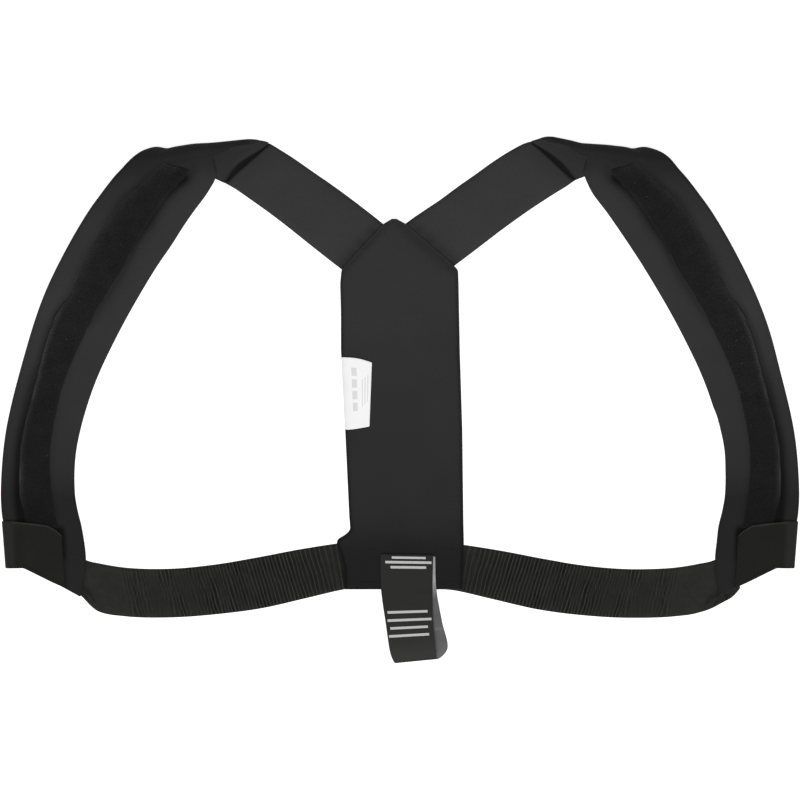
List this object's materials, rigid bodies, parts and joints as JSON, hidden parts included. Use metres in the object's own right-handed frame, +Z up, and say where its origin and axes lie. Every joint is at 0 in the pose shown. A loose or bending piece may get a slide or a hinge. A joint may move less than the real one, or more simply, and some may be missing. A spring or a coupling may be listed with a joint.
{
  "type": "posture corrector",
  "caption": "Soft black shoulder brace laid flat: a padded back panel with a peaked top, yoke straps, folded shoulder pads with loop tape, hook tabs and ribbed elastic side straps.",
  "frame": {"origin": "middle of the brace's footprint, on the surface it lies on", "axes": "+X across the shoulders to the right as seen from above, +Y towards the neck end, +Z up from the surface"},
  "size_m": [0.6364, 0.417, 0.023],
  "materials": {
    "neoprene": "matte knit-faced foam",
    "loop_pile": "fuzzy loop pile",
    "hook_tab": "matte knit-faced foam",
    "elastic": "ribbed woven elastic",
    "label_black": "satin ribbon",
    "label_white": "satin ribbon"
  },
  "bodies": {
    "root": {"back_panel": "neoprene", "yoke_strap_left": "neoprene", "yoke_strap_right": "neoprene", "shoulder_pad_left": "neoprene", "shoulder_pad_right": "neoprene", "loop_tape_left": "loop_pile", "loop_tape_right": "loop_pile", "hook_tab_left": "hook_tab", "hook_tab_right": "hook_tab", "side_elastic_left": "elastic", "side_elastic_right": "elastic", "hang_label": "label_black", "care_label": "label_white"}
  },
  "joints": []
}
